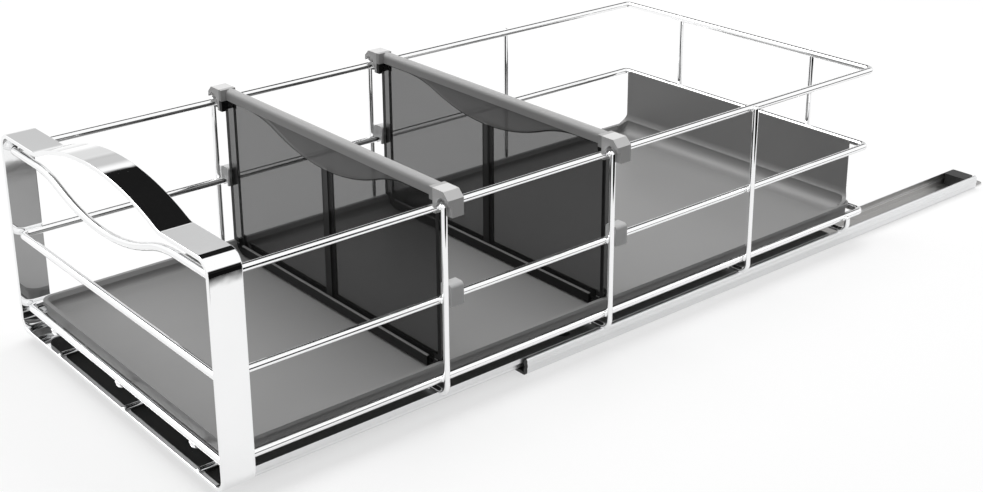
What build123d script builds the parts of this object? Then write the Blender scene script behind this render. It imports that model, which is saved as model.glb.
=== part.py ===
from build123d import *
import math
import os

# Pull-out cabinet basket: a chrome wire basket with a strap front, a moulded tray and two
# lift-out dividers, carried on a pair of flat ball slides that are screwed to the cabinet floor.
# Millimetres. X runs across the basket, Y from its front to its back, Z up from the cabinet floor.
# Y is zero at the middle of the floor rails. The basket is drawn partly pulled out.

# How far it is pulled out, and how far it travels each way from there
drawn_out = 156.0  # from shut to the place it is drawn in
front_overhang = 47.0  # strap front edge ahead of the floor rails when shut
more_travel = 165.0  # from the drawn place to the end of the slides

# Floor rails, slide rails, balls and cages
rail_length = 457.0
rail_inset = 17.0  # middle of a rail inside the strap's side
rail_tail = 12.5  # flat end of a floor rail behind its side walls
rail_width = 21.0
rail_height = 10.0
rail_sheet = 1.2
race_bulge = 0.5
mouth_half = 8.9  # half of the rail's open mouth
ball_diameter = 4.0
ball_rows = 15.2  # across one slide, between the centres of its two rows
ball_level = 5.6
race_play = 0.08
balls_per_row = 9
ball_pitch = 11.6
cage_length = 104.0
cage_sheet = 0.8
cage_play = 0.2
slide_top = 10.6  # top of the slide rail, on which the cross wires are welded
slide_half_web = 8.2
slide_half_hollow = 4.3
slide_foot = 3.4
slide_setback = 1.0  # slide rail behind the strap

# Holes and stops in the slides
screw_hole = 4.6
screw_spacing = 383.0  # along a rail, front screw to back screw
slot_length = 7.6
slot_place = 96.0
access_hole = 9.0
stop_width = 5.0
bumper_length = 12.0
bumper_setback = 14.0
cap_front = 1.4
cap_tongue = 6.0  # how far the end cap's two tongues reach into the rail
cap_tongue_sheet = 0.6

# Strap front with its handle arch
frame_width = 238.0
frame_height = 127.0
frame_depth = 19.0
frame_floor_gap = 6.0
strap = 2.5
corner_radius = 9.0
strap_edge = 0.6
arch_half_span = 74.0
arch_rise = 14.2
arch_foot_radius = 15.0

# Wire rings and the wires across them
ring_wire = 4.5
ring_corner = 4.0
ring_front = 4.8  # centre of the front runs behind the strap's front edge
ring_back = 505.0  # centre of the back runs behind the same edge
top_ring_level = 122.0
mid_ring_level = 68.4
bottom_ring_level = 21.4
dip_half_span = 80.0
dip_depth = 14.4
dip_floor_radius = 150.0
thin_wire = 3.6
thin_bend = 6.0
back_wire_bend = 5.0
first_cross_wire = 140.0
cross_wire_pitch = 122.0
last_floor_wire = 485.0
floor_wire_inset = 32.75  # outer floor wires inside the rings' sides
back_wire_inset = 53.25
back_wire_drop = 1.5  # tips below the middle of the rim ring
hook_radius = 3.1
hook_clearance = 0.05

# Tray
tray_play = 1.8  # between the tray and the rings
tray_seat = 0.3  # between the tray and the wires it lies on
tray_sheet = 2.0
tray_wall = 2.5
tray_lip = 27.5
tray_rim = 1.5
tray_rim_height = 2.2
tray_corner = 8.0
tray_floor_fillet = 3.4
tray_slope_height = 2.6  # of the sloped inner edge of the lip
tray_slope = 30.0
tray_back_top = 71.0
tray_back_bend = 9.0
tray_back_corner = 7.0
tray_back_cove = 10.0

# Dividers
divider_sheet = 2.4
divider_behind_wire = 6.4  # middle of the divider behind its cross wire
divider_play = 0.3
divider_ring_gap = 3.0  # between the divider's sides and the rings
divider_top = 131.0
divider_corner = 8.0
rail_bar_depth = 7.0
rail_bar_height = 7.0
rim_depth = 6.0
rim_width = 2.6
bead_height = 7.0
bead_step = 1.2
rib_width = 6.0
rib_depth = 4.4
skirt_depth = 4.4
wave_level = 123.4
wave_dip = 15.2
wave_half_span = 84.0
hook_wall = 2.1
hook_foot = 117.0
hook_depth = 10.5
hook_chamfer = 4.0
dome_room = 5.2  # radius of the hollow over the cross wire's tip

# Clips on the middle ring
clip_length = 8.6
clip_head = 8.6  # above the ring's middle
clip_foot = 3.9  # below the ring's middle
clip_wall = 3.0  # outside the ring
clip_behind_wire = 7.3  # middle of the clip behind the cross wire
clip_fit = 0.05

# Worked out from the sizes above
front_y = -rail_length / 2 - front_overhang - drawn_out
rail_spacing = frame_width - 2 * rail_inset
ring_x = frame_width / 2 - strap - ring_wire / 2
ring_front_y = front_y + ring_front
ring_back_y = front_y + ring_back
clip_reach = ring_x + ring_wire / 2 + clip_wall
cross_x = ring_x + (ring_wire + thin_wire) / 2
cross_level = slide_top + thin_wire / 2
floor_wire_level = cross_level + thin_wire
cross_places = [front_y + first_cross_wire + i * cross_wire_pitch for i in range(3)]
slide_front_y = front_y + frame_depth + slide_setback
slide_back_y = slide_front_y + rail_length
ball_radius = ball_diameter / 2
race_radius = ball_radius + race_play
cage_middle_y = (-rail_length / 2 + slide_back_y - more_travel) / 2 + more_travel / 2
tray_bottom = floor_wire_level + thin_wire / 2 + tray_seat
tray_floor = tray_bottom + tray_sheet
tray_half = ring_x - ring_wire / 2 - tray_play
tray_front_y = ring_front_y + ring_wire / 2 + tray_play
tray_back_y = ring_back_y - ring_wire / 2 - tray_play
divider_foot = tray_floor + divider_play
divider_half_width = ring_x - ring_wire / 2 - divider_ring_gap
divider_foot_half_width = tray_half - tray_rim - tray_wall - divider_play
hook_half_length = cross_x + thin_wire / 2 + divider_play + hook_wall


def wire(path, diameter):
    """A round wire along a path."""
    return sweep(Plane(origin=path @ 0, z_dir=path % 0) * Circle(diameter / 2), path=path)


def s_curve(half_span, rise, crown_radius):
    """The foot radius and the turn in degrees of a hump that leaves and meets a line smoothly."""
    turn = 2 * math.atan(rise / half_span)
    return half_span / math.sin(turn) - crown_radius, math.degrees(turn)


def hump(start, half_span, rise, crown_radius, forward=1):
    """Three tangent arcs from start over a hump (or through a dip) to the far side."""
    foot_radius, turn = s_curve(half_span, abs(rise), crown_radius)
    up = forward if rise > 0 else -forward
    first = JernArc(start, (forward, 0), foot_radius, up * turn)
    crown = JernArc(first @ 1, first % 1, crown_radius, -2 * up * turn)
    last = JernArc(crown @ 1, crown % 1, foot_radius, up * turn)
    return [first, crown, last]


def slab(x0, x1, y0, y1, z0, z1):
    """A plain box between two corners, given in either order along X."""
    return Pos((x0 + x1) / 2, (y0 + y1) / 2, (z0 + z1) / 2) * Box(abs(x1 - x0), y1 - y0, z1 - z0)


def section_rect(x0, x1, z0, z1):
    """A rectangle in a slide's cross section, seen along Y."""
    return Pos((x0 + x1) / 2, (z0 + z1) / 2) * Rectangle(x1 - x0, z1 - z0)


def along_y(section, y0, y1):
    """A cross section drawn in X and Z, carried from y0 to y1."""
    return extrude(Plane(origin=(0, y1, 0), x_dir=(1, 0, 0), z_dir=(0, -1, 0)) * section, y1 - y0)


def races(radius):
    """The two ball circles of a slide's cross section."""
    row = Pos(ball_rows / 2, ball_level) * Circle(radius)
    return row + mirror(row, Plane.YZ)


# ---- slides ----


def floor_rail_outline():
    """The outside of a floor rail's section, bulged outward along its ball races."""
    half = rail_width / 2 + race_bulge
    bulge = races(race_radius + rail_sheet) & section_rect(-half, half, 0, rail_height)
    return Pos(0, rail_height / 2) * RectangleRounded(rail_width, rail_height, 1.8) + bulge


def rail_passage():
    """The open middle of a floor rail's section, through which the slide rail and balls run."""
    return section_rect(-mouth_half, mouth_half, rail_sheet, rail_height + 1) + races(race_radius)


def floor_rail_section():
    """A channel with rolled-in lips."""
    inner = rail_width / 2 - rail_sheet
    hollow = section_rect(-inner, inner, rail_sheet, rail_height - rail_sheet)
    return floor_rail_outline() - hollow - rail_passage()


def floor_rail():
    """The cabinet-side rail with its screw holes, side slot and front stop."""
    rail = along_y(floor_rail_section(), -rail_length / 2, rail_length / 2 - rail_tail)
    tail = slab(-mouth_half, mouth_half, rail_length / 2 - rail_tail, rail_length / 2, 0, rail_sheet)
    rail += fillet(tail.edges().filter_by(Axis.Z).group_by(Axis.Y)[-1], 4.0)
    for y in (-screw_spacing / 2, screw_spacing / 2):
        rail -= Pos(0, y, 0) * Cylinder(screw_hole / 2, 4 * rail_sheet)
    rail -= Pos(0, slot_place, 0) * extrude(SlotOverall(slot_length, screw_hole), 2 * rail_sheet, both=True)
    stop_top = slide_foot - 0.4
    front = -rail_length / 2
    rail += slab(-stop_width / 2, stop_width / 2, front, front + rail_sheet, 0, stop_top)
    return rail


def slide_rail_section():
    """The basket-side rail: a web that curls down on the inner side of each ball row."""
    body = section_rect(-slide_half_web, slide_half_web, slide_foot, slide_top)
    hollow = section_rect(-slide_half_hollow, slide_half_hollow, 0, slide_top - rail_sheet)
    beside = ball_rows / 2 - ball_radius * math.cos(math.radians(35))
    below = ball_level + ball_radius * math.sin(math.radians(35))
    outside = section_rect(beside, slide_half_web + 1, 0, below)
    outside += mirror(outside, Plane.YZ)
    return body - hollow - outside - races(race_radius)


def slide_rail():
    """The basket-side rail with its screwdriver hole and its rear stop tongue."""
    rail = along_y(slide_rail_section(), slide_front_y, slide_back_y)
    rail -= Pos(0, -screw_spacing / 2, slide_top) * Cylinder(access_hole / 2, 4 * rail_sheet)
    tongue_foot = slide_foot - 1.3
    rail += slab(
        -stop_width / 2, stop_width / 2, slide_back_y - rail_sheet, slide_back_y, tongue_foot, slide_top - 0.5
    )
    return rail


def ball_places():
    """Where the balls of one slide sit, on both rows."""
    first = cage_middle_y - (balls_per_row - 1) * ball_pitch / 2
    return [(side * ball_rows / 2, first + i * ball_pitch) for side in (-1, 1) for i in range(balls_per_row)]


def ball_cage():
    """A folded strip with a round window for each ball."""
    low = rail_sheet + 0.8
    half = (ball_rows + cage_sheet) / 2
    high = ball_level + ball_radius * 0.8
    section = section_rect(-half, half, low, low + cage_sheet)
    section += section_rect(half - cage_sheet, half, low, high)
    section += section_rect(-half, cage_sheet - half, low, high)
    cage = along_y(section, cage_middle_y - cage_length / 2, cage_middle_y + cage_length / 2)
    for x, y in ball_places():
        cage -= Pos(x, y, ball_level) * Rot(0, 90, 0) * Cylinder(ball_radius + cage_play, 4 * cage_sheet)
    return cage


def balls():
    """The loose balls of one slide."""
    return Compound([Pos(x, y, ball_level) * Sphere(ball_radius) for x, y in ball_places()])


def rail_cap():
    """The plastic plate on the front of a floor rail, with two tongues that lie in the rail."""
    front = -rail_length / 2
    plate = along_y(floor_rail_outline() - rail_passage(), front - cap_front, front)
    for side in (-1, 1):
        inner, outer = side * (stop_width / 2 + 0.5), side * (mouth_half - 1.0)
        top = rail_sheet + cap_tongue_sheet
        plate += slab(inner, outer, front - cap_front, front + cap_tongue, rail_sheet, top)
    return plate


def rear_bumper():
    """The block at the back of a floor rail that the slide rail runs up to."""
    back = rail_length / 2 - bumper_setback
    half = mouth_half - 0.3
    body = slab(-half, half, back - bumper_length, back, rail_sheet, rail_height + 0.2)
    return fillet(body.edges().filter_by(Axis.Z), 2.0)


# ---- strap front and wires ----


def front_frame():
    """One closed loop of flat strap, arched up in the middle of its top as the handle."""
    half = frame_width / 2
    high = frame_height
    r = corner_radius
    crown_radius = s_curve(arch_half_span, arch_rise, 0)[0] - arch_foot_radius
    arch = hump((arch_half_span, high), arch_half_span, arch_rise, crown_radius, forward=-1)
    loop = [
        Line((r - half, 0), (half - r, 0)),
        JernArc((half - r, 0), (1, 0), r, 90),
        Line((half, r), (half, high - r)),
        JernArc((half, high - r), (0, 1), r, 90),
        Line((half - r, high), (arch_half_span, high)),
        *arch,
        Line((-arch_half_span, high), (r - half, high)),
        JernArc((r - half, high), (-1, 0), r, 90),
        Line((-half, high - r), (-half, r)),
        JernArc((-half, r), (0, -1), r, 90),
    ]
    outside = make_face(loop)
    band = outside - offset(outside, -strap)
    frame = along_y(Pos(0, frame_floor_gap) * band, front_y, front_y + frame_depth)
    ends = frame.edges().group_by(Axis.Y)
    return fillet(ends[0] + ends[-1], strap_edge)


def closed_ring(level):
    """A rectangular ring of heavy wire with rounded corners."""
    outline = RectangleRounded(2 * ring_x, ring_back_y - ring_front_y, ring_corner).face().outer_wire()
    return wire(Pos(0, (ring_front_y + ring_back_y) / 2, level) * outline, ring_wire)


def top_ring():
    """The rim ring: its front run dips below the handle to leave room for fingers."""
    level = top_ring_level
    reach = ring_x - ring_corner
    dip = hump((-dip_half_span, 0), dip_half_span, -dip_depth, dip_floor_radius)
    run = Wire([Line((-reach, 0), (-dip_half_span, 0)), *dip, Line((dip_half_span, 0), (reach, 0))])
    front = Plane(origin=(0, ring_front_y, level), x_dir=(1, 0, 0), z_dir=(0, -1, 0)) * run
    corners = [
        (reach, ring_front_y, level),
        (ring_x, ring_front_y, level),
        (ring_x, ring_back_y, level),
        (-ring_x, ring_back_y, level),
        (-ring_x, ring_front_y, level),
        (-reach, ring_front_y, level),
    ]
    radii = [ring_corner - 0.01, ring_corner, ring_corner, ring_corner - 0.01]
    rest = FilletPolyline(*corners, radius=radii)
    return wire(front, ring_wire) + wire(rest, ring_wire)


def cross_wire(y, top):
    """A U of thin wire: up the outside of the rings on both sides and across under the tray."""
    corners = [(-cross_x, y, top), (-cross_x, y, cross_level), (cross_x, y, cross_level), (cross_x, y, top)]
    body = wire(FilletPolyline(*corners, radius=thin_bend), thin_wire)
    for x in (-cross_x, cross_x):
        body += Pos(x, y, top) * Sphere(thin_wire / 2)
    return body


def floor_wire(x):
    """A wire along the floor, hooked up at the front to the bottom ring."""
    back = front_y + last_floor_wire + thin_wire
    top = bottom_ring_level - ring_wire / 2 - hook_clearance
    corners = [(x, back, floor_wire_level), (x, ring_front_y, floor_wire_level), (x, ring_front_y, top)]
    return wire(FilletPolyline(*corners, radius=min(hook_radius, top - floor_wire_level - 0.01)), thin_wire)


def back_wire(x):
    """A wire down the back of the rings that turns forward under the tray."""
    y = ring_back_y + (ring_wire + thin_wire) / 2
    front = front_y + last_floor_wire - thin_wire
    top = top_ring_level - back_wire_drop
    corners = [(x, y, top), (x, y, floor_wire_level), (x, front, floor_wire_level)]
    return wire(FilletPolyline(*corners, radius=back_wire_bend), thin_wire) + Pos(x, y, top) * Sphere(thin_wire / 2)


# ---- tray ----


def tray_plan(inset):
    """The tray's outline from above, drawn in by a margin."""
    wide = 2 * (tray_half - inset)
    deep = tray_back_y - tray_front_y - 2 * inset
    return Pos(0, (tray_front_y + tray_back_y) / 2) * RectangleRounded(wide, deep, tray_corner - inset)


def tray_side_profile():
    """Seen from the side: a low lip that sweeps up into the tall back wall."""
    back = tray_back_y
    foot = back - tray_wall - tray_back_bend
    points = Polyline(
        (back, tray_bottom), (tray_front_y, tray_bottom), (tray_front_y, tray_lip), (foot, tray_lip)
    )
    sweep_up = JernArc((foot, tray_lip), (1, 0), tray_back_bend, 90)
    rise = Line(sweep_up @ 1, (back - tray_wall, tray_back_top))
    cap = Line((back - tray_wall, tray_back_top), (back, tray_back_top))
    drop = Line((back, tray_back_top), (back, tray_bottom))
    return make_face([points, sweep_up, rise, cap, drop])


def tray_lip_slope():
    """The wedge cut from the inner edge of the lip, all round but for the back wall."""
    mouth = Pos(0, 0, tray_lip - tray_slope_height) * tray_plan(tray_rim + tray_wall)
    wedge = extrude(mouth, tray_slope_height + 0.5, taper=-tray_slope)
    back = tray_back_y - tray_wall - tray_back_bend
    return wedge & slab(-tray_half, tray_half, tray_front_y, back, tray_bottom, tray_back_top)


def tray_cove():
    """The wide fillet between the tray's floor and its back wall."""
    half = tray_half - tray_rim - tray_wall
    back = tray_back_y - tray_rim - tray_wall
    r = tray_back_cove
    block = slab(-half, half, back - r, back + tray_wall / 2, tray_floor - tray_sheet / 2, tray_floor + r)
    return block - Pos(0, back - r, tray_floor + r) * Rot(0, 90, 0) * Cylinder(r, 3 * half)


def tray():
    """The moulded tray: floor, low rimmed lip and a tall back wall with rounded corners."""
    height = tray_back_top - tray_bottom
    body = extrude(Pos(0, 0, tray_bottom) * tray_plan(tray_rim), height)
    body += extrude(Pos(0, 0, tray_lip - tray_rim_height) * tray_plan(0), tray_rim_height)
    profile = extrude(Plane.YZ * tray_side_profile(), tray_half + 1, both=True)
    hollow = extrude(Pos(0, 0, tray_floor) * tray_plan(tray_rim + tray_wall), tray_back_top)
    hollow = fillet(hollow.faces().sort_by(Axis.Z)[0].edges(), tray_floor_fillet)
    shell = (body & profile) - hollow - tray_lip_slope() + (tray_cove() & body)
    half = tray_half - tray_rim
    for side in (-1, 1):
        corner = slab(
            side * (half - tray_back_corner), side * (half + 1), tray_back_y - 30, tray_back_y + 1,
            tray_back_top - tray_back_corner, tray_back_top + 1,
        )
        corner -= Pos(side * (half - tray_back_corner), tray_back_y, tray_back_top - tray_back_corner) * (
            Rot(90, 0, 0) * Cylinder(tray_back_corner, 80)
        )
        shell -= corner
    return shell


# ---- dividers ----


def in_panel(section, y_middle, depth):
    """A shape drawn in X and Z, given depth about a divider's middle plane."""
    return along_y(section, y_middle - depth / 2, y_middle + depth / 2)


def panel_outline(inset):
    """The divider's panel from the front: narrower within the tray, with rounded lower corners."""
    half = divider_half_width - inset
    foot_half = divider_foot_half_width - inset
    low = divider_foot + inset
    shoulder = tray_lip + 2 * divider_play + inset
    foot = section_rect(-foot_half, foot_half, low, shoulder + 1)
    foot = fillet(foot.vertices().group_by(Axis.Y)[0], divider_corner - inset)
    return foot + section_rect(-half, half, shoulder, divider_top - rail_bar_height / 2)


def skirt_outline():
    """The thicker band under the divider's rail; its lower edge dips in a wave."""
    crown = 0.62 * s_curve(wave_half_span, wave_dip, 0)[0]
    dip = hump((-wave_half_span, wave_level), wave_half_span, -wave_dip, crown)
    reach = divider_half_width
    high = divider_top - rail_bar_height / 2
    ends = Polyline(
        (wave_half_span, wave_level), (reach, wave_level), (reach, high), (-reach, high),
        (-reach, wave_level), (-wave_half_span, wave_level),
    )
    return make_face([*dip, ends])


def divider_hook(side, wire_y, middle_y):
    """The end of a divider's rail: it sits over the rim ring and covers the cross wire's tip."""
    inner = side * (divider_half_width - rim_width)
    outer = side * hook_half_length
    back_y = middle_y + rail_bar_depth / 2
    front = back_y - hook_depth
    block = slab(inner, outer, front, back_y, hook_foot, divider_top)
    outside = block.faces().sort_by(Axis.X)[-1 if side > 0 else 0]
    block = chamfer(outside.edges().sort_by(Axis.Z)[-1], hook_chamfer)
    half_slot = ring_wire / 2 + divider_play
    x = side * ring_x
    block -= slab(x - half_slot, x + half_slot, front - 1, back_y + 1, hook_foot - 1, top_ring_level)
    block -= Pos(x, back_y, top_ring_level) * Rot(90, 0, 0) * Cylinder(half_slot, 3 * hook_depth)
    reach = wire_y + thin_wire / 2 + divider_play
    block -= slab(x - side * half_slot, outer + side, front - 1, reach, hook_foot - 1, top_ring_level)
    room = Cylinder(dome_room, 2 * (reach - front), align=(Align.CENTER, Align.CENTER, Align.MIN))
    return block - Pos(outer - side * (dome_room - 0.3), reach, top_ring_level) * Rot(90, 0, 0) * room


def divider(wire_y):
    """One divider: thin panel, thick rail, rims, bead, rib and skirt, with a hook at each end."""
    middle_y = wire_y + divider_behind_wire
    panel = panel_outline(0)
    body = in_panel(panel, middle_y, divider_sheet)
    body += in_panel(panel - panel_outline(rim_width), middle_y, rim_depth)
    low = divider_foot
    half = divider_foot_half_width - divider_corner
    bead = slab(-half, half, middle_y - rim_depth / 2 - bead_step, middle_y + rim_depth / 2 + bead_step,
                low, low + bead_height)
    body += fillet(bead.edges().filter_by(Axis.X), 1.4)
    rib_top = wave_level - wave_dip + rib_width / 4  # into the skirt
    body += in_panel(section_rect(-rib_width / 2, rib_width / 2, low + 1, rib_top), middle_y, rib_depth)
    body += in_panel(skirt_outline(), middle_y, skirt_depth)
    bar = Pos(0, middle_y, divider_top - rail_bar_height / 2) * Box(
        2 * divider_half_width, rail_bar_depth, rail_bar_height
    )
    body += fillet(bar.edges().filter_by(Axis.X).group_by(Axis.Z)[-1], rail_bar_depth / 2 - 0.3)
    for side in (-1, 1):
        body += divider_hook(side, wire_y, middle_y)
    return body


def ring_clip(side, wire_y):
    """A clip pressed over the middle ring from above, beside a divider and clear of the tray's way up."""
    middle_y = wire_y + clip_behind_wire
    inner = side * (tray_half + divider_play)
    clip = slab(inner, side * clip_reach, middle_y - clip_length / 2, middle_y + clip_length / 2,
                mid_ring_level - clip_foot, mid_ring_level + clip_head)
    clip = fillet(clip.edges().filter_by(Axis.Y).group_by(Axis.Z)[-1], 2.4)
    half_slot = ring_wire / 2 + clip_fit
    x = side * ring_x
    clip -= slab(x - half_slot, x + half_slot, middle_y - clip_length, middle_y + clip_length,
                 mid_ring_level - clip_foot - 1, mid_ring_level)
    return clip - Pos(x, middle_y, mid_ring_level) * Rot(90, 0, 0) * Cylinder(half_slot, 2 * clip_length)


# ---- the pieces ----

pieces = {}
for name, x in (("left", -rail_spacing / 2), ("right", rail_spacing / 2)):
    place = Pos(x, 0, 0)
    pieces["floor_rail_" + name] = place * floor_rail()
    pieces["rail_end_cap_" + name] = place * rail_cap()
    pieces["rear_bumper_" + name] = place * rear_bumper()
    pieces["ball_cage_" + name] = place * ball_cage()
    pieces["slide_balls_" + name] = place * balls()
    pieces["slide_rail_" + name] = place * slide_rail()
    side = -1 if name == "left" else 1
    pieces["back_wire_" + name] = back_wire(side * (ring_x - back_wire_inset))
    pieces["floor_wire_" + name] = floor_wire(side * (ring_x - floor_wire_inset))
    pieces["ring_clip_front_" + name] = ring_clip(side, cross_places[0])
    pieces["ring_clip_back_" + name] = ring_clip(side, cross_places[1])

pieces["floor_wire_middle"] = floor_wire(0)
pieces["front_frame"] = front_frame()
pieces["top_ring"] = top_ring()
pieces["middle_ring"] = closed_ring(mid_ring_level)
pieces["bottom_ring"] = closed_ring(bottom_ring_level)
cross_top = top_ring_level + ring_wire / 2 - thin_wire / 2
for name, y in zip(("front", "middle", "back"), cross_places):
    pieces["cross_wire_" + name] = cross_wire(y, cross_top)
low_top = bottom_ring_level + ring_wire / 2 - thin_wire / 2
pieces["cross_wire_low"] = cross_wire(front_y + last_floor_wire, low_top)
pieces["tray"] = tray()
pieces["divider_front"] = divider(cross_places[0])
pieces["divider_back"] = divider(cross_places[1])

os.makedirs("parts", exist_ok=True)
for name, piece in pieces.items():
    export_step(piece, os.path.join("parts", name + ".step"))
print(len(pieces), "pieces written")
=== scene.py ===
# A pull-out cabinet basket in a white studio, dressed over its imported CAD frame.
import math

import bpy
import numpy as np
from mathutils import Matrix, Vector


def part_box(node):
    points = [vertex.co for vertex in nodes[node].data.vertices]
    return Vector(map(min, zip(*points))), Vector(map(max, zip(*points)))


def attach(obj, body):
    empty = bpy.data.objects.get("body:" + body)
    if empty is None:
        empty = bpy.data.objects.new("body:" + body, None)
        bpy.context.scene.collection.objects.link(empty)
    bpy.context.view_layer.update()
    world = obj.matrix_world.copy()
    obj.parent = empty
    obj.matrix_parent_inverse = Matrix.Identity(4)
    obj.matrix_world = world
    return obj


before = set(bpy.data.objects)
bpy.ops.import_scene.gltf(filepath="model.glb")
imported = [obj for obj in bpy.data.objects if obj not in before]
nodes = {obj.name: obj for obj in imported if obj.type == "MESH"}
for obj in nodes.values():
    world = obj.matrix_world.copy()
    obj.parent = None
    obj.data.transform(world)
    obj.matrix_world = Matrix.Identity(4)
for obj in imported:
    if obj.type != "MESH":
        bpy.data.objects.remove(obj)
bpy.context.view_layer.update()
print("loaded", len(nodes), "CAD nodes")

mm = 0.001
sides = ("left", "right")


class Wire:  # one socket of a shader graph; operators on it add Math nodes
    def __init__(self, graph, socket):
        self.graph = graph
        self.socket = socket

    def maths(self, operation, *others):
        values = dict(enumerate((self,) + others))
        return self.graph.node("ShaderNodeMath", {"operation": operation}, values)

    def __add__(self, other):
        return self.maths("ADD", other)

    def __sub__(self, other):
        return self.maths("SUBTRACT", other)

    def __rsub__(self, other):
        return self.maths("MULTIPLY", -1.0).maths("ADD", other)

    def __mul__(self, other):
        return self.maths("MULTIPLY", other)

    def __pow__(self, other):
        return self.maths("POWER", other)

    def __gt__(self, other):
        return self.maths("GREATER_THAN", other)

    def __abs__(self):
        return self.maths("ABSOLUTE")

    __radd__ = __add__
    __rmul__ = __mul__

    def over(self, low, high):  # 0 below low, 1 above high, smooth between
        values = {"Value": self, "From Min": low, "From Max": high}
        return self.graph.node("ShaderNodeMapRange", {"interpolation_type": "SMOOTHSTEP"}, values)

    def between(self, low, high, soft):  # 1 inside a band, with soft edges
        return self.over(low - soft, low + soft) * (1 - self.over(high - soft, high + soft))


class Graph:  # the node tree of a material or a world
    def __init__(self, owner):
        owner.use_nodes = True
        self.tree = owner.node_tree
        self.tree.nodes.clear()

    def node(self, kind, settings=None, values=None, out=0):
        made = self.tree.nodes.new(kind)
        for key, value in (settings or {}).items():
            setattr(made, key, value)
        for key, value in (values or {}).items():
            if isinstance(value, Wire):
                self.tree.links.new(value.socket, made.inputs[key])
            else:
                made.inputs[key].default_value = value
        return Wire(self, made.outputs[out]) if made.outputs else None

    def place(self):  # object coordinates, in metres
        return self.node("ShaderNodeTexCoord", out="Object")

    def axes(self, place):  # the x, y and z of a place or a direction
        split = self.node("ShaderNodeSeparateXYZ", None, {"Vector": place})
        return [Wire(self, split.socket.node.outputs[i]) for i in range(3)]

    def stretched(self, place, scale):
        return self.node("ShaderNodeMapping", None, {"Vector": place, "Scale": scale})

    def noise(self, place, scale, detail=2.0, rough=0.5):
        values = {"Vector": place, "Scale": scale, "Detail": detail, "Roughness": rough}
        return self.node("ShaderNodeTexNoise", None, values, out="Fac")

    def blendColour(self, share, first, second):
        values = {0: share, 6: first, 7: second}
        return self.node("ShaderNodeMix", {"data_type": "RGBA"}, values, out=2)

    def bump(self, height, strength, distance):
        values = {"Height": height, "Strength": strength, "Distance": distance}
        return self.node("ShaderNodeBump", None, values)

    def surface(self, values):
        shader = self.node("ShaderNodeBsdfPrincipled", None, values)
        self.node("ShaderNodeOutputMaterial", None, {"Surface": shader})


def grey(level, warm=0.0):
    return (level * (1 + warm), level, level * (1 - warm), 1.0)


def newMaterial(name):
    material = bpy.data.materials.new(name)
    return material, Graph(material)


def middleOf(name, axis):
    low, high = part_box(name)
    return (low[axis] + high[axis]) / 2


railMiddle = middleOf("floor_rail_right", 0)

# In every look, dark and light are a grey and its warmth, a noise is its scale, detail and roughness, an edge
# is where a mask starts and ends, and a bump is its strength and depth.

chromeLook = {
    "dark": (0.88, -0.004), "light": (0.95, -0.002), "cloud": (20, 3),
    "rough": 0.03, "smudgeRough": 0.04, "smudge": (38, 4, 0.6), "smudgeEdge": (0.45, 0.8),
    "ripple": (70, 2), "bump": (0.06, 0.6 * mm),
}


def chromePlate():  # polished plate: a faint ripple of the steel below and a few handling smudges
    material, g = newMaterial("chromePlate")
    look = chromeLook
    place = g.place()
    smudge = g.noise(place, *look["smudge"]).over(*look["smudgeEdge"])
    g.surface({
        "Base Color": g.blendColour(g.noise(place, *look["cloud"]), grey(*look["dark"]), grey(*look["light"])),
        "Metallic": 1.0, "Roughness": look["rough"] + smudge * look["smudgeRough"],
        "Normal": g.bump(g.noise(place, *look["ripple"]), *look["bump"]),
    })
    return material


zincLook = {
    "dark": (0.76, 0.0), "light": (0.86, -0.01), "cloud": (45, 4, 0.6), "streak": (1, 3, 0.6),
    "stretch": (900, 7, 900), "streakShare": 0.6, "rough": 0.30, "streakRough": 0.10, "bump": (0.05, 0.2 * mm),
    # inside the track the rail is darker: painted shade, with grease
    "filmAndShade": (0.62, 0.01), "trackHalf": (9.5 * mm, 9.7 * mm), "trackHeight": (0.6 * mm, 9.4 * mm, 0.2 * mm),
}


def zincPlate(name, hasTrack=False):
    # roll-formed strip: fine streaks along the rail under a bright zinc plate, darkened by grease and by
    # painted shade inside a rail that has a track
    material, g = newMaterial(name)
    look = zincLook
    place = g.place()
    streak = g.noise(g.stretched(place, look["stretch"]), *look["streak"])
    cloud = g.noise(place, *look["cloud"])
    share = streak * look["streakShare"] + cloud * (1 - look["streakShare"])
    tone = g.blendColour(share, grey(*look["dark"]), grey(*look["light"]))
    if hasTrack:
        x, z = g.axes(place)[::2]
        inside = 1 - abs(abs(x) - railMiddle).over(*look["trackHalf"])
        # painted shade inside the track's channel, together with its grease
        tone = g.blendColour(inside * z.between(*look["trackHeight"]), tone, grey(*look["filmAndShade"]))
    g.surface({
        "Base Color": tone, "Metallic": 1.0, "Roughness": look["rough"] + streak * look["streakRough"],
        "Normal": g.bump(streak, *look["bump"]),
    })
    return material


cageLook = {
    "dark": (0.30, 0.02), "light": (0.46, 0.01), "filmAndShade": (120, 4, 0.6), "rough": 0.28, "filmRough": 0.2,
}
ballLook = {"dark": (0.62, 0.0), "light": (0.74, 0.0), "filmAndShade": (400, 2), "rough": 0.06, "filmRough": 0.06}


def oiledSteel(name, look):  # bare steel of the ball cages and balls, under an uneven film of oil
    material, g = newMaterial(name)
    filmAndShade = g.noise(g.place(), *look["filmAndShade"])
    g.surface({
        "Base Color": g.blendColour(filmAndShade, grey(*look["dark"]), grey(*look["light"])),
        "Metallic": 1.0, "Roughness": look["rough"] + filmAndShade * look["filmRough"],
    })
    return material


blackLook = {
    "dark": (0.018, 0.0), "light": (0.03, 0.0), "wear": (90, 3), "wearEdge": (0.5, 0.8),
    "rough": 0.42, "wearRough": 0.16, "grain": (1800, 3, 0.6), "bump": (0.25, 0.2 * mm),
}


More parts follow.
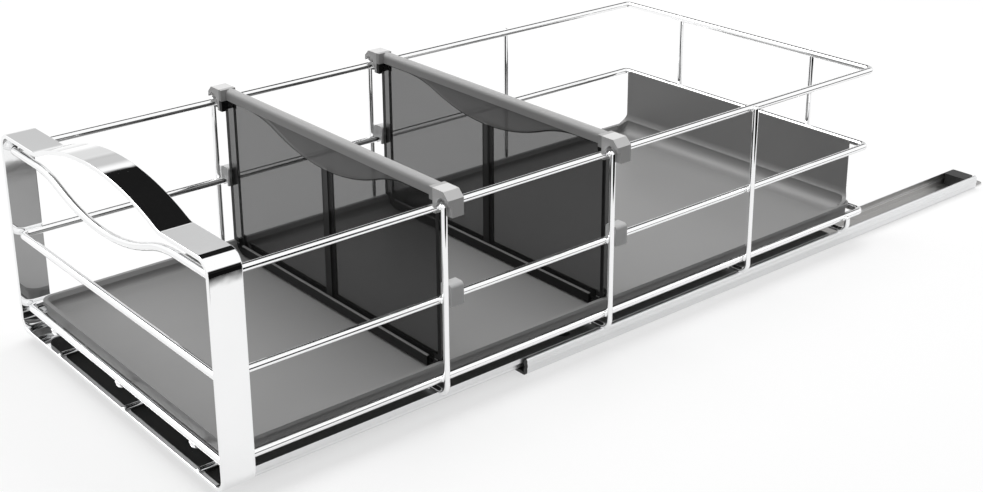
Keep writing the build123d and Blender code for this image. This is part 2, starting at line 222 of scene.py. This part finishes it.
def blackPlastic():  # caps and bumpers: spark-textured black moulding
    material, g = newMaterial("blackPlastic")
    look = blackLook
    place = g.place()
    worn = g.noise(place, *look["wear"]).over(*look["wearEdge"])
    g.surface({
        "Base Color": g.blendColour(worn, grey(*look["dark"]), grey(*look["light"])),
        "Roughness": look["rough"] + worn * look["wearRough"],
        "Normal": g.bump(g.noise(place, *look["grain"]), *look["bump"]),
    })
    return material


trayLook = {
    "dark": (0.235, 0.004), "light": (0.275, 0.004), "cloud": (9, 3, 0.55),
    "scuff": (1, 3, 0.7), "scuffStretch": (60, 420, 60), "scuffEdge": (0.62, 0.82),
    # the near-black of the underside is painted shade
    "scuffGrey": (0.34, 0.0), "scuffShare": 0.12, "under": (0.02, 0.0), "underShadeEdge": (18.3 * mm, 18.6 * mm),
    "rough": 0.36, "cloudRough": 0.08, "scuffRough": 0.08, "underRough": 0.5,
    "grain": (1500, 2, 0.55), "bump": (0.18, 0.2 * mm),
}


def greyPlastic():
    # tray: satin moulding with a fine grain, faint flow clouds, scuffs on the floor and painted shade on its
    # underside
    material, g = newMaterial("greyPlastic")
    look = trayLook
    place = g.place()
    z = g.axes(place)[2]
    cloud = g.noise(place, *look["cloud"])
    scuff = g.noise(g.stretched(place, look["scuffStretch"]), *look["scuff"]).over(*look["scuffEdge"])
    # painted shade: below the sole the tray's underside turns near black
    under = 1 - z.over(*look["underShadeEdge"])
    tone = g.blendColour(cloud, grey(*look["dark"]), grey(*look["light"]))
    tone = g.blendColour(scuff * look["scuffShare"], tone, grey(*look["scuffGrey"]))
    worn = cloud * look["cloudRough"] + scuff * look["scuffRough"] + under * look["underRough"]
    g.surface({
        "Base Color": g.blendColour(under, tone, grey(*look["under"])),
        "Roughness": look["rough"] + worn,
        "Normal": g.bump(g.noise(place, *look["grain"]), *look["bump"]),
    })
    return material


smokeLook = {
    # each finish is a grey and an opacity
    "panel": (0.002, 0.58), "skirt": (0.19, 0.84), "rim": (0.008, 0.96), "bead": (0.15, 1.0),
    "bar": (0.42, 1.0), "hook": (0.66, 1.0), "warmth": 0.004,
    "rough": 0.36, "cloudRough": 0.08, "cloud": (14, 3), "shine": 0.15,
    "grain": (1600, 2, 0.55), "bump": (0.10, 0.2 * mm),
    # where each finish starts, out from the middle of the divider or up from the floor
    "behindWire": 6.4 * mm, "ribEdge": (1.4 * mm, 1.7 * mm), "ribSide": (3.1 * mm, 3.3 * mm),
    "rimEdge": (2.4 * mm, 2.7 * mm), "beadBand": (26.9 * mm, 27.7 * mm, 0.1 * mm),
    "barEdge": (123.7 * mm, 123.9 * mm), "hookEdge": (109.2 * mm, 109.5 * mm),
    # the band just below the skirt's edge is a painted shadow line
    "skirtEdge": (-0.1 * mm, 0.1 * mm), "shadowLineBand": (-1.0 * mm, 0.0, 0.1 * mm),
    # the skirt's wavy lower edge
    "waveLow": 108.2 * mm, "waveHigh": 123.4 * mm, "waveEnd": 84 * mm, "waveTurn": 52 * mm,
    "crownRadius": 148.6 * mm, "footRadius": 91.1 * mm,
}


def skirtFoot(x):
    # height of the skirt's lower edge: an arc about the middle, then an arc up to its level end
    look = smokeLook
    crown = look["waveLow"] + look["crownRadius"] - (look["crownRadius"] ** 2 - x * x) ** 0.5
    across = (look["waveEnd"] - abs(x)).maths("MAXIMUM", 0.0)
    foot = look["waveHigh"] - look["footRadius"] + (look["footRadius"] ** 2 - across * across) ** 0.5
    return crown + (abs(x) > look["waveTurn"]) * (foot - crown)


def dividerLayers(g, place, middleY):  # masks and their finishes, each laid over the ones before
    look = smokeLook
    x, y, z = g.axes(place)
    depth = abs(y - middleY)
    above = z - skirtFoot(x)
    rim = depth.over(*look["rimEdge"])
    return (
        (depth.over(*look["ribEdge"]) * (1 - abs(x).over(*look["ribSide"])), "rim"),
        (above.over(*look["skirtEdge"]), "skirt"),
        # painted shadow: a dark line just below the skirt's wavy edge, in the rim's dark finish
        (above.between(*look["shadowLineBand"]), "rim"),
        (rim, "rim"),
        (z.between(*look["beadBand"]) * rim, "bead"),
        (z.over(*look["barEdge"]), "bar"),
        (abs(x).over(*look["hookEdge"]), "hook"),
    )


def smokedPlastic(name, middleY):
    # divider: clear smoke in the panel, dark at rims, grey in the skirt, the rail and the hooks, and a painted
    # shadow line below the skirt's edge
    material, g = newMaterial(name)
    look = smokeLook
    place = g.place()
    level, solid = look["panel"]
    tone = grey(level)
    for share, finish in dividerLayers(g, place, middleY):
        level, opacity = look[finish]
        tone = g.blendColour(share, tone, grey(level, look["warmth"]))
        solid = (1 - share) * solid + share * opacity
    g.surface({
        "Base Color": tone, "Alpha": solid, "Specular IOR Level": look["shine"],
        "Roughness": look["rough"] + g.noise(place, *look["cloud"]) * look["cloudRough"],
        "Normal": g.bump(g.noise(place, *look["grain"]), *look["bump"]),
    })
    return material


clipLook = {
    "dark": (0.561, 0.0), "light": (0.759, 0.0), "cloud": (60, 3), "rough": 0.34, "cloudRough": 0.08,
    "grain": (1600, 2), "bump": (0.10, 0.2 * mm),
}


def smokedClip():  # the small clips are too thick to see through
    material, g = newMaterial("smokedClip")
    look = clipLook
    place = g.place()
    cloud = g.noise(place, *look["cloud"])
    g.surface({
        "Base Color": g.blendColour(cloud, grey(*look["dark"]), grey(*look["light"])),
        "Roughness": look["rough"] + cloud * look["cloudRough"],
        "Normal": g.bump(g.noise(place, *look["grain"]), *look["bump"]),
    })
    return material


def dress(names, material):
    for name in names:
        slots = nodes[name].data.materials
        slots.clear()
        slots.append(material)


def bothSides(*kinds):
    return [kind + side for kind in kinds for side in sides]


chrome = chromePlate()
clips = [name for name in nodes if "clip" in name]
wires = [name for name in nodes if ("ring" in name or "wire" in name) and name not in clips]
dress(wires + ["front_frame"], chrome)
dress(clips, smokedClip())
dress(bothSides("slide_rail_"), zincPlate("zincPlate"))
dress(bothSides("floor_rail_"), zincPlate("trackZinc", hasTrack=True))
dress(bothSides("ball_cage_"), oiledSteel("pressedSteel", cageLook))
dress(bothSides("slide_balls_"), oiledSteel("groundSteel", ballLook))
dress(bothSides("rail_end_cap_", "rear_bumper_"), blackPlastic())
dress(["tray"], greyPlastic())
for place, wire in (("front", "cross_wire_front"), ("back", "cross_wire_middle")):
    middle = middleOf(wire, 1) + smokeLook["behindWire"]
    dress(["divider_" + place], smokedPlastic("smokedPlastic_" + place, middle))
print("finishes set")


weldLook = {
    "reach": 2.1 * mm, "height": 0.75 * mm, "around": 16, "rows": 9, "pole": 0.02,
    "ringRadius": 2.25 * mm, "railTop": 10.6 * mm,
}


def gridFaces(count, rows, columns):
    # quads of a grid that closes on itself sideways, repeated count times
    row, column = np.meshgrid(np.arange(rows - 1), np.arange(columns), indexing="ij")
    corner = row * columns + column
    beside = row * columns + (column + 1) % columns
    one = np.stack([corner, beside, beside + columns, corner + columns], -1).reshape(-1, 4)
    return (one[None] + (np.arange(count) * rows * columns)[:, None, None]).reshape(-1, 4)


def meshPiece(name, points, faces, material):
    mesh = bpy.data.meshes.new(name)
    mesh.from_pydata(points.reshape(-1, 3).tolist(), [], [list(f) for f in faces])
    mesh.materials.append(material)
    mesh.polygons.foreach_set("use_smooth", np.ones(len(mesh.polygons), bool))
    mesh.update()
    piece = bpy.data.objects.new(name, mesh)
    bpy.context.scene.collection.objects.link(piece)
    return piece


def weldPoints():
    # where two wires touch, with the direction across the touch
    ringLow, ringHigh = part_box("bottom_ring")
    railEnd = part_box("slide_rail_left")[1][1]
    radius = weldLook["ringRadius"]
    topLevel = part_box("top_ring")[1][2] - radius
    rings = [middleOf("middle_ring", 2), middleOf("bottom_ring", 2), topLevel]
    spots = []
    for wire in ("cross_wire_front", "cross_wire_middle", "cross_wire_back", "cross_wire_low"):
        y = middleOf(wire, 1)
        levels = rings if wire != "cross_wire_low" else rings[1:2]
        for side, x in ((-1, ringLow[0]), (1, ringHigh[0])):
            spots += [((x, y, z), (side, 0, 0)) for z in levels]
            if y < railEnd:
                spots.append(((side * railMiddle, y, weldLook["railTop"]), (0, 0, 1)))
    for wire in bothSides("back_wire_"):
        spots += [((middleOf(wire, 0), ringHigh[1], z), (0, 1, 0)) for z in rings]
    for wire in ("floor_wire_left", "floor_wire_middle", "floor_wire_right"):
        spots.append(((middleOf(wire, 0), ringLow[1] + radius, ringLow[2]), (0, 0, 1)))
    return np.array([s[0] for s in spots]), np.array([s[1] for s in spots], float)


def weldBeads():
    # each bead is a lens about the touch: radius reach * cos(v), height * sin(v) along the normal
    centre, normal = weldPoints()
    v = np.linspace(-np.pi / 2, np.pi / 2, weldLook["rows"])
    u = np.linspace(0, 2 * np.pi, weldLook["around"], endpoint=False)
    other = np.roll(normal, 1, axis=1)
    third = np.cross(normal, other)
    ringed = np.cos(u)[None, None, :, None] * other[:, None, None]
    ringed = ringed + np.sin(u)[None, None, :, None] * third[:, None, None]
    flat = np.maximum(np.cos(v), weldLook["pole"])[None, :, None, None] * ringed * weldLook["reach"]
    tall = np.sin(v)[None, :, None, None] * normal[:, None, None] * weldLook["height"]
    points = centre[:, None, None] + flat + tall
    piece = meshPiece("weld_beads", points, gridFaces(len(centre), len(v), len(u)), chrome)
    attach(piece, "basket")


weldBeads()
print("welds made")


floorLook = {
    "white": 0.88, "mottle": 1.01, "noise": (30, 3), "bounce": 0.14, "glow": 0.55, "half": 3.2,
    # metal sees the dark room beyond the table's right edge
    "tableEdge": (0.34, 0.36), "cornerEdge": (-0.34, -0.30), "cornerSlant": 0.25,
}
roomLook = {"dark": 0.012, "air": 0.78, "airLow": 0.16, "airRise": (0, 70), "white": 1.0, "metalWhite": 1.08}


def rayKinds(g):
    # camera, glossy and transmitted rays, and the plain rest
    path = g.node("ShaderNodeLightPath")
    names = ("Is Camera Ray", "Is Glossy Ray", "Is Transmission Ray")
    seen = [Wire(g, path.socket.node.outputs[k]) for k in names]
    return seen + [1 - (seen[0] + seen[1] + seen[2]).maths("MINIMUM", 1.0)]


def floorMaterial():
    # matt white that also glows a little, so it shows as a white backdrop wherever nothing shades it
    material, g = newMaterial("studioFloor")
    look = floorLook
    camera, glossy, clear, plain = rayKinds(g)
    place = g.place()
    x, y = g.axes(place)[:2]
    dark = x.over(*look["tableEdge"]) * glossy * (y + x * look["cornerSlant"]).over(*look["cornerEdge"])
    white = look["white"]
    tone = g.blendColour(g.noise(place, *look["noise"]), grey(white), grey(white * look["mottle"]))
    tone = g.blendColour(plain, tone, grey(look["bounce"]))
    tone = g.blendColour(dark, tone, grey(roomLook["dark"]))
    matt = g.node("ShaderNodeBsdfDiffuse", None, {"Color": tone})
    glow = g.node("ShaderNodeEmission", None, {"Color": grey(1.0), "Strength": 1.0 - dark})
    share = (camera + glossy + clear).maths("MINIMUM", 1.0) * look["glow"]
    shader = g.node("ShaderNodeMixShader", None, {0: share, 1: matt, 2: glow})
    g.node("ShaderNodeOutputMaterial", None, {"Surface": shader})
    return material


def studioFloor():
    half = floorLook["half"]
    corners = [(-half, -half, 0), (half, -half, 0), (half, half, 0), (-half, half, 0)]
    mesh = bpy.data.meshes.new("studio_floor")
    mesh.from_pydata(corners, [], [(0, 1, 2, 3)])
    mesh.materials.append(floorMaterial())
    floor = bpy.data.objects.new("studio_floor", mesh)
    bpy.context.scene.collection.objects.link(floor)


# what metal sees besides white: strength, then bearing and rise in degrees as low, high and softness
skyPatches = {
    "highCard": (1.0, (95, 185, 6), (29, 60, 1)), "lowCard": (1.0, (2, 33, 3), (-12, 14, 3)),
    "lowHaze": (0.28, (95, 185, 10), (4, 16, 3)), "highHaze": (0.42, (95, 185, 10), (16, 25, 2)),
    "glint": (4.0, (-175, -115, 8), (30, 62, 5)),
}


def studioWorld():
    # white all round; metal also sees a dark card high at the back left, with grey below it, a low one at the
    # right and a bright window at the front left
    world = bpy.data.worlds.new("studio")
    bpy.context.scene.world = world
    g = Graph(world)
    look = roomLook
    x, y, z = g.axes(g.node("ShaderNodeTexCoord", out="Generated"))
    bearing = y.maths("ARCTAN2", x) * math.degrees(1)
    rise = z.maths("ARCSINE") * math.degrees(1)
    patch = {
        name: bearing.between(*across) * rise.between(*up) * strength
        for name, (strength, across, up) in skyPatches.items()
    }
    card = patch["highCard"].maths("MAXIMUM", patch["lowCard"])
    haze = patch["lowHaze"] + patch["highHaze"]
    metal = (1 - card) * (1 - haze) * look["metalWhite"] + look["dark"] + patch["glint"]
    camera, glossy, clear, plain = rayKinds(g)
    air = look["airLow"] + rise.over(*look["airRise"]) * (look["air"] - look["airLow"])
    strength = (camera + clear) * look["white"] + glossy * metal + plain * air
    shader = g.node("ShaderNodeBackground", None, {"Color": grey(1.0), "Strength": strength})
    g.node("ShaderNodeOutputWorld", None, {"Surface": shader})


lampLook = {"at": (-0.5, 0.1, 1.9), "target": (0, -0.15, 0), "size": (1.8, 1.4), "watts": 30.0}


def overheadLamp():
    look = lampLook
    data = bpy.data.lights.new("overhead", "AREA")
    data.shape = "RECTANGLE"
    data.size, data.size_y = look["size"]
    data.energy = look["watts"]
    lamp = bpy.data.objects.new("overhead", data)
    bpy.context.scene.collection.objects.link(lamp)
    away = np.array(look["at"]) - np.array(look["target"])
    flat = math.hypot(away[0], away[1])
    lamp.location = look["at"]
    lamp.rotation_euler = (math.atan2(flat, away[2]), 0, math.atan2(away[0], -away[1]))
    lamp.visible_glossy = False


studioFloor()
studioWorld()
overheadLamp()
bpy.context.scene.view_settings.view_transform = "Standard"
print("studio built")


photoCamera = {  # matched to the photograph; turn in degrees, lens and sensor in mm
    "location": (0.6917, -0.7381, 0.4214), "turn": (70.554, 0.655, 51.056),
    "lens": 55.404, "sensor": 36, "shift": (0.0294, -0.118), "nearest": 0.01,
}


def photoView():
    data = bpy.data.cameras.new("photoCamera")
    data.sensor_width = photoCamera["sensor"]
    data.sensor_fit = "HORIZONTAL"
    data.lens = photoCamera["lens"]
    data.shift_x, data.shift_y = photoCamera["shift"]
    data.clip_start = photoCamera["nearest"]
    camera = bpy.data.objects.new("photoCamera", data)
    bpy.context.scene.collection.objects.link(camera)
    camera.location = photoCamera["location"]
    camera.rotation_euler = [math.radians(a) for a in photoCamera["turn"]]
    bpy.context.scene.camera = camera


photoView()
print("camera placed")
